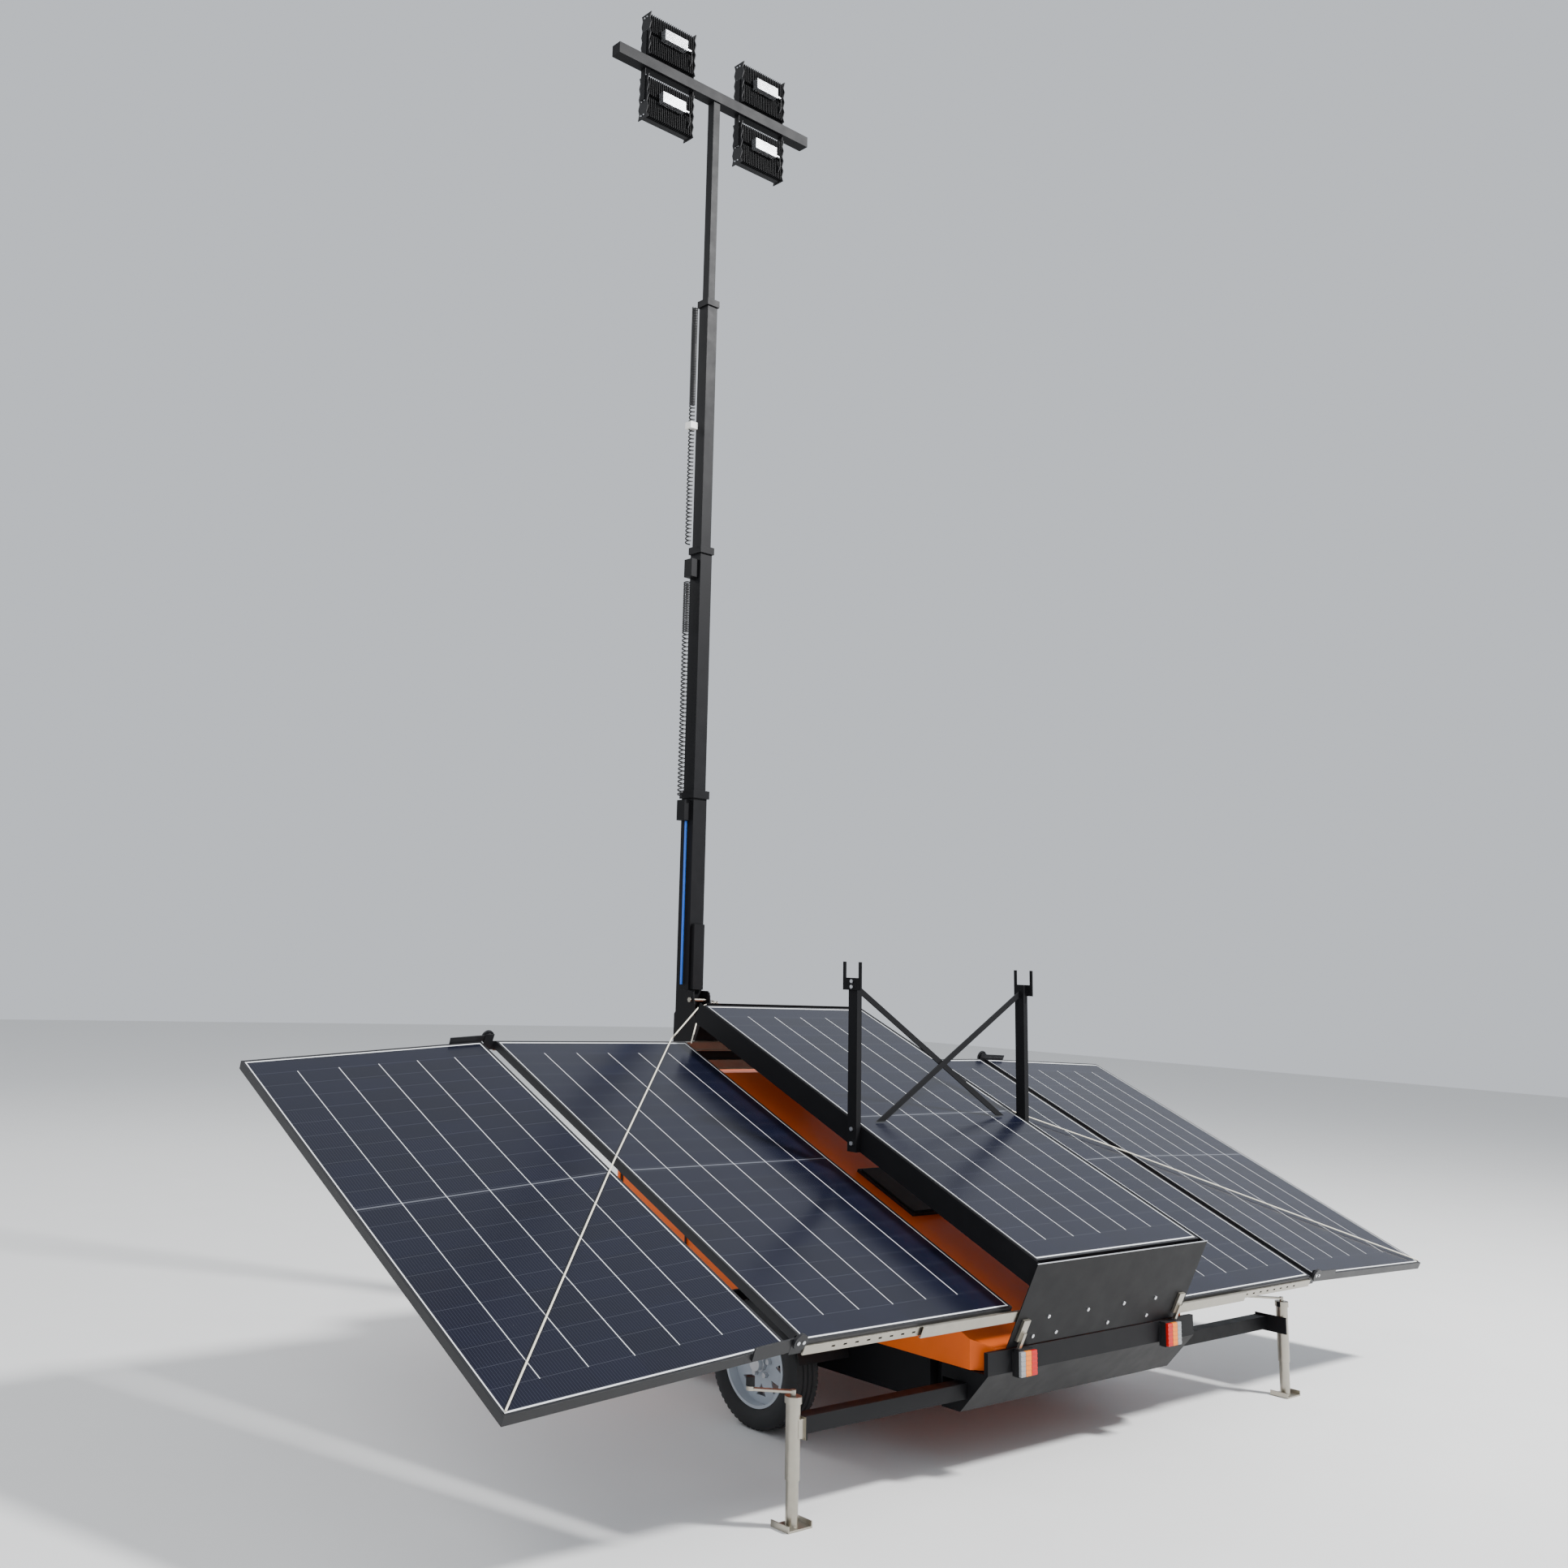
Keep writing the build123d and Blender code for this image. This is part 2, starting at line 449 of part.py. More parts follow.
for side, s, drop, out, droop, HINGE_GAP in (("left", -1, L_DROP, L_OUT, L_DROOP, L_GAP),
                                             ("right", 1, R_DROP, R_OUT, R_DROOP, R_GAP)):
    cu = s * out
    hx = cu + s * (MOD_W / 2 + HINGE_GAP / 2)
    hw = -drop + HINGE_UP
    d = math.radians(droop)
    if s < 0:
        xd, zd = Vector(1, 0, 0) * math.cos(d) + N * math.sin(d), N * math.cos(d) - Vector(1, 0, 0) * math.sin(d)
    else:
        xd, zd = Vector(1, 0, 0) * math.cos(d) - N * math.sin(d), N * math.cos(d) + Vector(1, 0, 0) * math.sin(d)
    OUT = Plane(origin=P(hx, 0, hw), x_dir=xd, z_dir=zd)
    xo = -HINGE_GAP / 2 - MOD_W if s < 0 else HINGE_GAP / 2
    with BuildPart() as inner_frame:
        module_frame(LID, cu - MOD_W / 2, -drop)
        for e in (-1, 1):
            block(LID, sorted((cu - s * 540, cu + s * 540)), sorted((e * 1046, e * 1048)), (-drop - 30, -drop - 5))
            vt = sorted((e * 1047.4, e * 1049))
            block(LID, sorted((cu - s * 545, hx + s * 22)), vt, (-drop - 43, -drop - 1))
            block(LID, sorted((hx - s * 24, hx + s * 22)), vt, (-drop - 40, hw + 20))
            rod(P(hx, e * 1047.5, hw), P(hx, e * 1066, hw), 8)
            rod(P(hx, e * 1056, hw), P(hx, e * 1066, hw), 31)
    save(inner_frame, side + "_inner_frame")
    with BuildPart() as inner_glass:
        laminate(LID, cu - MOD_W / 2, -drop)
    save(inner_glass, side + "_inner_glass")
    with BuildPart() as outer_frame:
        module_frame(OUT, xo, -HINGE_UP)
        for e in (-1, 1):
            va = sorted((e * 1050, e * 1055))
            block(OUT, sorted((0, s * 200)), va, (-HINGE_UP - 25, 14))
            block(OUT, sorted((-s * 30, s * 34)), va, (-HINGE_UP - 36, -12), Mode.SUBTRACT)
            rod(OUT.from_local_coords((0, e * 1050, 0)), OUT.from_local_coords((0, e * 1055, 0)), 20)
            block(OUT, sorted((s * 60, s * 200)), sorted((e * 1046, e * 1051)), (-HINGE_UP - 24, -HINGE_UP - 2))
            rod(OUT.from_local_coords((0, e * 1044, 0)), OUT.from_local_coords((0, e * 1060, 0)), 8.05, Mode.SUBTRACT)
    save(outer_frame, side + "_outer_frame")
    with BuildPart() as outer_glass:
        laminate(OUT, xo, -HINGE_UP)
    save(outer_glass, side + "_outer_glass")
    w = -drop - 5
    with BuildPart() as slide_mid:
        for e in (-1, 1):
            block(LID, (cu / 2 - 556, cu / 2 + 556), sorted((e * 1062.5, e * 1065.5)), (w - 49, w - 4))
            for a, b in ((w - 49, w - 46), (w - 7, w - 4)):
                block(LID, (cu / 2 - 556, cu / 2 + 556), sorted((e * 1057, e * 1063)), (a, b))
    save(slide_mid, side + "_slide_middle")
    with BuildPart() as slide_in:
        for e in (-1, 1):
            block(LID, (cu - 566, cu + 566), sorted((e * 1049.3, e * 1055.2)), (w - 44, w - 9))
            for k in range(9):
                block(LID, (cu - s * 60 + s * 60 * k - 9, cu - s * 60 + s * 60 * k + 9), sorted((e * 1048, e * 1057)), (w - 30, w - 23), Mode.SUBTRACT)
    save(slide_in, side + "_slide_inner")
    # taut rope from the chain at the pivot to the far rear corner
    corner = OUT.from_local_coords((s * (HINGE_GAP / 2 + MOD_W - 12), -MOD_L / 2 + 12, -HINGE_UP + 7))
    tie = Vector(-58, 560, 1640) if s < 0 else Vector(74, 612, 1660)
    # it bears on the front edge (left side) and over the folding line
    turns = [P(-700, 1058, -drop + 9), P(hx, 53, -drop + 11)] if s < 0 else [P(hx, 20, -drop + 10)]
    pts = [tie] + turns + [corner]
    with BuildPart() as rope:
        for a, b in zip(pts, pts[1:]):
            step = (b - a).normalized() * 2.5
            rod(a + step, b - step, 3.5)
        if s < 0:
            rod(tie + Vector(0, -16, 0), Vector(-607, 0, 1492), 3.5)
    save(rope, side + "_rope")

with BuildPart() as anchor_chain:
    bar((80, 618, 1677), (80, 560, 1670), 9, 5)
    a, b = Vector(82, 560, 1670), Vector(-46, 554, 1646)
    for k in range(4):
        p, q = a + (b - a) * (k / 4.0), a + (b - a) * ((k + 1.1) / 4.0)
        bar(p, q, 9, 5, (0, 0, 1) if k % 2 else (0, 1, 0))
save(anchor_chain, "anchor_chain")

# ---------------------------------------------------------------- outriggers with screw jacks
for side, s, oy in (("left", -1, OUT_Y[0]), ("right", 1, OUT_Y[1])):
    jx = s * JACK_X
    with BuildPart() as outrigger:
        wblock(sorted((s * 450, s * 1620)), (oy - 28, oy + 28), (OUT_Z - 28, OUT_Z + 28))
        wblock(sorted((s * 447, s * 1610)), (oy - 24, oy + 24), (OUT_Z - 24, OUT_Z + 24), Mode.SUBTRACT)
        wblock(sorted((s * 1614, s * 1622)), (-1765, oy + 30), (278, 352))
        wblock(sorted((s * 1620, s * 1650)), (-1757, -1703), (284, 346))
        rod((jx, JACK_Y, 150), (jx, JACK_Y, 395), 25.5)
        rod((jx, JACK_Y, 149), (jx, JACK_Y, 380), 22.06, Mode.SUBTRACT)
        rod((jx, JACK_Y, 395), (jx, JACK_Y, 418), 30)
    save(outrigger, side + "_outrigger")
    with BuildPart() as leg:
        rod((jx, JACK_Y, 6), (jx, JACK_Y, 215), 22)
        wblock((jx - 58, jx + 58), (JACK_Y - 42, JACK_Y + 42), (0, 6))
        for e in (-1, 1):
            wblock(sorted((jx + e * 53, jx + e * 58)), (JACK_Y - 42, JACK_Y + 42), (0, 22))
    save(leg, side + "_jack_leg")
    with BuildPart() as crank:
        rod((jx, JACK_Y, 418.4), (jx, JACK_Y, 438), 9)
        e = Vector(jx - 110, JACK_Y + 100, 431)
        bar((jx, JACK_Y, 431), e, 20, 8)
        rod(e - Vector(0, 0, 4), e + Vector(0, 0, 40), 14)
    save(crank, side + "_jack_crank")

with BuildPart() as jockey_tube:
    wblock((-165, 165), (1480, 1560), (385.3, 393))
    rod((0, 1520, 330), (0, 1520, 620), 30)
    rod((0, 1520, 329), (0, 1520, 600), 24.06, Mode.SUBTRACT)
    bar((0, 1520, 628), (0, 1680, 628), 20, 8)
    rod((0, 1520, 619), (0, 1520, 632), 10)
    rod((0, 1675, 625), (0, 1675, 720), 13)
save(jockey_tube, "jockey_tube")
with BuildPart() as jockey_leg:
    rod((0, 1520, 215), (0, 1520, 500), 24)
    wblock((-40, 40), (1490, 1550), (206, 216))
    for x in (-40, 34):
        wblock((x, x + 6), (1490, 1550), (85, 212))
    rod((-34.5, 1520, 100), (34.5, 1520, 100), 10)
    rod((-28, 1520, 100), (28, 1520, 100), 100)
save(jockey_leg, "jockey_leg")
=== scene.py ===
import math
import random
import bpy
import bmesh
from mathutils import Matrix, Vector


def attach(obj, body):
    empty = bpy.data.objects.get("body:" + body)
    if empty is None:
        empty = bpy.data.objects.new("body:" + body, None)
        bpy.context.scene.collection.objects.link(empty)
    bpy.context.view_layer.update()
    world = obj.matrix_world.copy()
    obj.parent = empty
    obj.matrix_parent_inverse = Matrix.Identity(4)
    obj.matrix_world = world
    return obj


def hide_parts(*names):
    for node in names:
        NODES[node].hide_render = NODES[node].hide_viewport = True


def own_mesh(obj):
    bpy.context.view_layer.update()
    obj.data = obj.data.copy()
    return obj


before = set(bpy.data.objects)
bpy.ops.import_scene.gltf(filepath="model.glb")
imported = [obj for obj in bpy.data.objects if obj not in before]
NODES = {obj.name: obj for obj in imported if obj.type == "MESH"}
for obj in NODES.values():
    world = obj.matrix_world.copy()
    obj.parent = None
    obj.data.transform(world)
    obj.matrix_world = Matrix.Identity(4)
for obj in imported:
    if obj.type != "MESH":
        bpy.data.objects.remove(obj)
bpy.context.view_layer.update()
random.seed(7)
A = math.radians(24.23)
S, C = math.sin(A), math.cos(A)
V = Vector((0, C, S))
N = Vector((0, -S, C))


def P(u, v, w):
    return Vector((u, -1.0 + v * C - w * S, 1.245 + v * S + w * C))


# ------------------------------------------------------------ camera
sc = bpy.context.scene
a, p, r = math.radians(-37.3295), math.radians(10.9335), math.radians(2.534)
fwd = Vector((-math.sin(a) * math.cos(p), math.cos(a) * math.cos(p), math.sin(p)))
right = Vector((math.cos(a), math.sin(a), 0))
up = right.cross(fwd)
r2 = right * math.cos(r) + up * math.sin(r)
u2 = -right * math.sin(r) + up * math.cos(r)
cam_data = bpy.data.cameras.new("camera")
cam = bpy.data.objects.new("camera", cam_data)
sc.collection.objects.link(cam)
m = Matrix((r2, u2, -fwd)).transposed().to_4x4()
m.translation = Vector((-5.7237, -5.6605, 1.8604))
cam.matrix_world = m
cam_data.sensor_width = 36
cam_data.lens = 34.64
cam_data.shift_x, cam_data.shift_y = 0.1314, -0.0731
cam_data.clip_end = 200
sc.camera = cam


# ------------------------------------------------------------ materials
def nodes_of(name):
    mt = bpy.data.materials.new(name)
    mt.use_nodes = True
    nt = mt.node_tree
    return mt, nt, nt.nodes["Principled BSDF"]


def finish_mat(name, col, rough=0.5, metal=0.0, scale=14.0, vary=0.10, bump=0.15, grain=180.0, coat=0.0, edge=0.0015,
               spec=0.5):
    mt, nt, b = nodes_of(name)
    b.inputs["Specular IOR Level"].default_value = spec
    L = nt.links.new
    tc = nt.nodes.new("ShaderNodeTexCoord")
    n1 = nt.nodes.new("ShaderNodeTexNoise")
    n1.inputs["Scale"].default_value = scale
    n1.inputs["Detail"].default_value = 6
    L(tc.outputs["Object"], n1.inputs["Vector"])
    mix = nt.nodes.new("ShaderNodeMix")
    mix.data_type = "RGBA"
    mix.inputs["A"].default_value = [c * (1 - vary) for c in col] + [1]
    mix.inputs["B"].default_value = [min(1, c * (1 + vary)) for c in col] + [1]
    L(n1.outputs["Fac"], mix.inputs["Factor"])
    L(mix.outputs["Result"], b.inputs["Base Color"])
    mr = nt.nodes.new("ShaderNodeMapRange")
    mr.inputs["To Min"].default_value = max(0.02, rough - 0.08)
    mr.inputs["To Max"].default_value = min(1, rough + 0.10)
    L(n1.outputs["Fac"], mr.inputs["Value"])
    L(mr.outputs["Result"], b.inputs["Roughness"])
    b.inputs["Metallic"].default_value = metal
    b.inputs["Coat Weight"].default_value = coat
    n2 = nt.nodes.new("ShaderNodeTexNoise")
    n2.inputs["Scale"].default_value = grain
    L(tc.outputs["Object"], n2.inputs["Vector"])
    bp = nt.nodes.new("ShaderNodeBump")
    bp.inputs["Strength"].default_value = bump
    bp.inputs["Distance"].default_value = 0.0006
    L(n2.outputs["Fac"], bp.inputs["Height"])
    bv = nt.nodes.new("ShaderNodeBevel")
    bv.samples = 4
    bv.inputs["Radius"].default_value = edge
    L(bv.outputs["Normal"], bp.inputs["Normal"])
    L(bp.outputs["Normal"], b.inputs["Normal"])
    return mt


ORANGE = finish_mat("orange powder coat", (0.86, 0.135, 0.006), 0.42, vary=0.05, spec=0.25)
BLACK = finish_mat("black powder coat", (0.006, 0.006, 0.007), 0.50, vary=0.25, spec=0.14)
ZINC = finish_mat("zinc plate", (0.40, 0.375, 0.32), 0.32, 0.95, vary=0.15, scale=30)
GALV = finish_mat("galvanised", (0.50, 0.51, 0.52), 0.45, 0.9, vary=0.18, scale=45)
SILVER = finish_mat("silver", (0.62, 0.63, 0.65), 0.28, 0.9, vary=0.05)
WHITE = finish_mat("white enamel", (0.46, 0.50, 0.55), 0.35, vary=0.04)
PLASTIC = finish_mat("black plastic", (0.010, 0.010, 0.011), 0.55, vary=0.2, spec=0.25)
RUBBER = finish_mat("tyre rubber", (0.020, 0.020, 0.021), 0.78, vary=0.3, bump=0.4)
CORD = finish_mat("cord jacket", (0.016, 0.016, 0.017), 0.45, vary=0.2)
ROPE = finish_mat("rope", (0.78, 0.74, 0.62), 0.85, vary=0.12, grain=700, bump=0.7)
BLUE = finish_mat("blue cable", (0.02, 0.16, 0.78), 0.35, vary=0.08)
LED = finish_mat("lamp lens", (0.55, 0.56, 0.50), 0.15, vary=0.08)
AMBER = finish_mat("amber lens", (0.80, 0.20, 0.0), 0.30, vary=0.06, spec=0.3)
RED = finish_mat("red lens", (0.50, 0.004, 0.003), 0.30, vary=0.06, spec=0.3)
CLEAR = finish_mat("clear lens", (0.25, 0.26, 0.27), 0.20, vary=0.05, coat=0.2)
TAPE = finish_mat("white tape", (0.85, 0.84, 0.80), 0.8, vary=0.05)


FRAME = finish_mat("module frame", (0.012, 0.012, 0.014), 0.38, 0.0, vary=0.1, spec=0.3)


def pv_mat():
    mt, nt, b = nodes_of("solar cells")
    L = nt.links.new

    def M(op, x, y=None, z=None):
        k = nt.nodes.new("ShaderNodeMath")
        k.operation = op
        for i, q in enumerate((x, y, z)):
            if q is None:
                continue
            if isinstance(q, (int, float)):
                k.inputs[i].default_value = q
            else:
                L(q, k.inputs[i])
        return k.outputs[0]

    uv = nt.nodes.new("ShaderNodeUVMap")
    uv.uv_map = "metres"
    sp = nt.nodes.new("ShaderNodeSeparateXYZ")
    L(uv.outputs[0], sp.inputs[0])
    x, y = sp.outputs["X"], sp.outputs["Y"]
    ax, ay = M("ABSOLUTE", x), M("ABSOLUTE", y)

    def near(val, pitch, half):
        d = M("ABSOLUTE", M("SUBTRACT", val, M("MULTIPLY", M("ROUND", M("DIVIDE", val, pitch)), pitch)))
        return M("LESS_THAN", d, half)

    col = M("MULTIPLY", near(x, 0.184, 0.0014), M("MULTIPLY", M("LESS_THAN", ax, 0.45), M("LESS_THAN", ay, 0.936)))
    margin = M("MAXIMUM", M("GREATER_THAN", ax, 0.5505), M("GREATER_THAN", ay, 1.0285))
    yr = M("SUBTRACT", ay, 0.012)
    row = near(yr, 0.0922, 0.0010)
    mid = M("LESS_THAN", ay, 0.0035)
    white = M("MINIMUM", 1.0, M("ADD", col, margin))
    bus = near(M("ADD", x, 0.00575), 0.0115, 0.0007)
    noise = nt.nodes.new("ShaderNodeTexNoise")
    noise.inputs["Scale"].default_value = 7
    L(uv.outputs[0], noise.inputs["Vector"])
    cell = nt.nodes.new("ShaderNodeTexWhiteNoise")
    cell.noise_dimensions = "2D"
    cv = nt.nodes.new("ShaderNodeCombineXYZ")
    L(M("FLOOR", M("DIVIDE", x, 0.184)), cv.inputs[0])
    L(M("FLOOR", M("DIVIDE", y, 0.0922)), cv.inputs[1])
    L(cv.outputs[0], cell.inputs["Vector"])
    base = nt.nodes.new("ShaderNodeMix")
    base.data_type = "RGBA"
    base.inputs["A"].default_value = (0.0020, 0.0026, 0.0085, 1)
    base.inputs["B"].default_value = (0.0032, 0.0044, 0.0150, 1)
    L(M("MULTIPLY", M("ADD", cell.outputs["Value"], noise.outputs["Fac"]), 0.5), base.inputs["Factor"])

    def over(prev, fac, colour):
        k = nt.nodes.new("ShaderNodeMix")
        k.data_type = "RGBA"
        L(prev, k.inputs["A"])
        k.inputs["B"].default_value = colour
        L(fac, k.inputs["Factor"])
        return k.outputs["Result"]

    c = over(base.outputs["Result"], M("MULTIPLY", bus, 0.07), (0.25, 0.27, 0.32, 1))
    c = over(c, M("MULTIPLY", row, 0.16), (0.16, 0.17, 0.20, 1))
    c = over(c, M("MULTIPLY", mid, 0.45), (0.20, 0.21, 0.24, 1))
    c = over(c, white, (0.78, 0.79, 0.80, 1))
    L(c, b.inputs["Base Color"])
    b.inputs["Roughness"].default_value = 0.22
    b.inputs["Coat Weight"].default_value = 0.0
    b.inputs["Specular IOR Level"].default_value = 0.30
    b.inputs["Coat Roughness"].default_value = 0.06
    return mt


PV = pv_mat()


# ------------------------------------------------------------ mesh helpers
def obj_from(bm, name, mats, smooth=None):
    me = bpy.data.meshes.new(name)
    bm.normal_update()
    bm.to_mesh(me)
    bm.free()
    ob = bpy.data.objects.new(name.replace(" ", "_"), me)
    sc.collection.objects.link(ob)
    for k in mats:
        me.materials.append(k)
    if smooth is not None:
        me.polygons.foreach_set("use_smooth", [True] * len(me.polygons))
        me.set_sharp_from_angle(angle=math.radians(smooth))
    return ob


def bx(bm, lo, hi, mi=0, mat=None):
    q = bmesh.ops.create_cube(bm, size=1)
    lo, hi = Vector(lo), Vector(hi)
    c = (lo + hi) / 2
    d = hi - lo
    for v in q["verts"]:
        v.co = Vector((v.co.x * d.x, v.co.y * d.y, v.co.z * d.z)) + c
        if mat is not None:
            v.co = mat @ v.co
    for f in {f for v in q["verts"] for f in v.link_faces}:
        f.material_index = mi


def cyl(bm, p0, p1, rad, mi=0, seg=24):
    p0, p1 = Vector(p0), Vector(p1)
    d = p1 - p0
    q = bmesh.ops.create_cone(bm, cap_ends=True, segments=seg, radius1=rad, radius2=rad, depth=d.length)
    mt = Matrix.Translation((p0 + p1) / 2) @ d.to_track_quat("Z", "Y").to_matrix().to_4x4()
    for v in q["verts"]:
        v.co = mt @ v.co
    for f in {f for v in q["verts"] for f in v.link_faces}:
        f.material_index = mi


def tube(bm, pts, rad, seg=8, mi=0):
    """A round tube through the points."""
    pts = [Vector(q) for q in pts]
    rings = []
    nrm = None
    for i, q in enumerate(pts):
        t = (pts[min(i + 1, len(pts) - 1)] - pts[max(i - 1, 0)]).normalized()
        if nrm is None:
            nrm = t.orthogonal().normalized()
        nrm = (nrm - t * nrm.dot(t)).normalized()
        bi = t.cross(nrm)
        rings.append([bm.verts.new(q + (nrm * math.cos(k) + bi * math.sin(k)) * rad)
                      for k in [2 * math.pi * j / seg for j in range(seg)]])
    for r0, r1 in zip(rings, rings[1:]):
        for j in range(seg):
            f = bm.faces.new((r0[j], r0[(j + 1) % seg], r1[(j + 1) % seg], r1[j]))
            f.material_index = mi
    for ring in (rings[0][::-1], rings[-1]):
        f = bm.faces.new(ring)
        f.material_index = mi


def length(pts):
    return sum((Vector(y) - Vector(x)).length for x, y in zip(pts, pts[1:]))


# ------------------------------------------------------------ cords first
def curly(name, node, body, z0, z1, dense):
    pts = []
    z, t = z0, 0.0
    step = 2 * math.pi / 14
    while z < z1:
        pitch = 0.0105 if z1 - z < dense else 0.024
        pts.append((-0.085 + 0.0150 * math.cos(t), 0.730 + 0.0150 * math.sin(t), z))
        z += pitch * step / (2 * math.pi)
        t += step
    bm = bmesh.new()
    tube(bm, pts, 0.0042, 6)
    ob = obj_from(bm, name, [CORD], 60)
    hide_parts(node)
    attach(ob, body)
    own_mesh(ob)
    return ob


curly("curly cord upper", "cord_upper", "mast_two", 4.276, 5.750, 0.62)
curly("curly cord lower", "cord_lower", "mast_lower", 2.802, 4.048, 0.30)


def outer_point(s, out, drop, gap, droop, x, v, z):
    hx, hw = s * (out + 0.567 + gap / 2), -drop + 0.012
    d = math.radians(droop)
    X = Vector((1, 0, 0))
    xd = X * math.cos(d) + N * math.sin(d) if s < 0 else X * math.cos(d) - N * math.sin(d)
    zd = N * math.cos(d) - X * math.sin(d) if s < 0 else N * math.cos(d) + X * math.sin(d)
    return P(hx, 0, hw) + xd * x + V * v + zd * z, xd, zd


SIDES = (("left", -1, 1.182, 0.197, 0.080, 4.5), ("right", 1, 1.169, 0.300, 0.050, 2.0))
for side, s, out, drop, gap, droop in SIDES:
    tie = Vector((-0.058, 0.560, 1.640)) if s < 0 else Vector((0.074, 0.612, 1.660))
    corner = outer_point(s, out, drop, gap, droop, s * (gap / 2 + 1.122), -1.035, -0.005)[0]
    hx = s * (out + 0.567 + gap / 2)
    mids = [P(-0.70, 1.058, -drop + 0.009), P(hx, 0.053, -drop + 0.011)] if s < 0 else [P(hx, 0.020, -drop + 0.010)]
    line = [tie] + mids + [corner]
    # each run of the rope rides the panel it lies on
    bodies = ["rack", "left_inner", "left_outer"] if s < 0 else ["rack", "right_outer"]
    runs = list(zip(bodies, line, line[1:]))
    if s < 0:
        runs.append(("rack", tie + Vector((0, -0.016, 0)), Vector((-0.607, 0, 1.492))))
    for k, (body, q0, q1) in enumerate(runs):
        pts = [q0.lerp(q1, j / 30) for j in range(31)]
        bm = bmesh.new()
        tube(bm, pts, 0.0035, 8)
        ob = obj_from(bm, f"rope {side} {k}", [ROPE], 60)
        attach(ob, body)
        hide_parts(side + "_rope")
        if k in (0, 3):
            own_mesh(ob)

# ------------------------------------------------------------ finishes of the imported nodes
PAINT = {
    "cabinet_shell": ORANGE, "left_door": ORANGE, "right_door": ORANGE, "chassis_frame": BLACK, "rear_light_box": BLACK,
    "power_pack": PLASTIC, "axle": BLACK, "mudguards": PLASTIC, "tail_lamp_housings": PLASTIC, "tail_lamp_lenses": RED,
    "drawbar": BLACK, "mast_pedestal": BLACK, "mast_pivot_pin": ZINC, "mast_base": BLACK, "mast_section_2": BLACK,
    "mast_section_3": BLACK, "mast_section_4": BLACK, "t_bar": BLACK, "mast_cable": BLUE, "anchor_chain": ZINC,
    "mast_rest": BLACK, "rack_lid": BLACK, "rack_latches": ZINC, "rack_slides": ZINC, "jockey_tube": ZINC,
    "jockey_leg": BLACK, "left_rope": ROPE, "right_rope": ROPE, "cord_upper": CORD, "cord_lower": CORD,
}
for n, ob in NODES.items():
    k = PAINT.get(n)
    if k is None:
        k = (RUBBER if "tyre" in n else WHITE if "rim" in n else SILVER if "hub" in n else PV if "glass" in n else
             FRAME if "frame" in n else ZINC if "slide" in n or "crank" in n or "jack_leg" in n else BLACK)
    ob.data.materials.clear()
    ob.data.materials.append(k)
    ob.data.polygons.foreach_set("use_smooth", [True] * len(ob.data.polygons))
    ob.data.set_sharp_from_angle(angle=math.radians(28))
    if "outrigger" in n:
        # the jack and its bracket are zinc plated, the tube is black
        ob.data.materials.append(ZINC)
        for q in ob.data.polygons:
            q.material_index = 1 if abs(q.center.x) > 1.6215 else 0
    ob.data.update()


# ------------------------------------------------------------ solar laminates
def laminate(node, body, o, xd, zd):
    bm = bmesh.new()
    uvl = bm.loops.layers.uv.new("metres")
    hx, hy = 0.5557, 1.0357
    top = [bm.verts.new(o + xd * x + V * y) for x, y in ((-hx, -hy), (hx, -hy), (hx, hy), (-hx, hy))]
    low = [bm.verts.new(q.co - zd * 0.005) for q in top]
    faces = [bm.faces.new(top), bm.faces.new(low[::-1])]
    for i in range(4):
        j = (i + 1) % 4
        faces.append(bm.faces.new((top[j], top[i], low[i], low[j])))
    for f in faces:
        for lp in f.loops:
            q = lp.vert.co - o
            lp[uvl].uv = (q.dot(xd), q.dot(V))
    faces[1].material_index = 1
    ob = obj_from(bm, node + " cells", [PV, WHITE])
    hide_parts(node)
    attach(ob, body)


X = Vector((1, 0, 0))
laminate("lid_module_glass", "rack", P(0, 0, -0.001), X, N)
for side, s, out, drop, gap, droop in SIDES:
    laminate(side + "_inner_glass", side + "_inner", P(s * out, 0, -drop - 0.001), X, N)
    o, xd, zd = outer_point(s, out, drop, gap, droop, s * (gap / 2 + 0.567), 0, -0.013)
    laminate(side + "_outer_glass", side + "_outer", o, xd, zd)

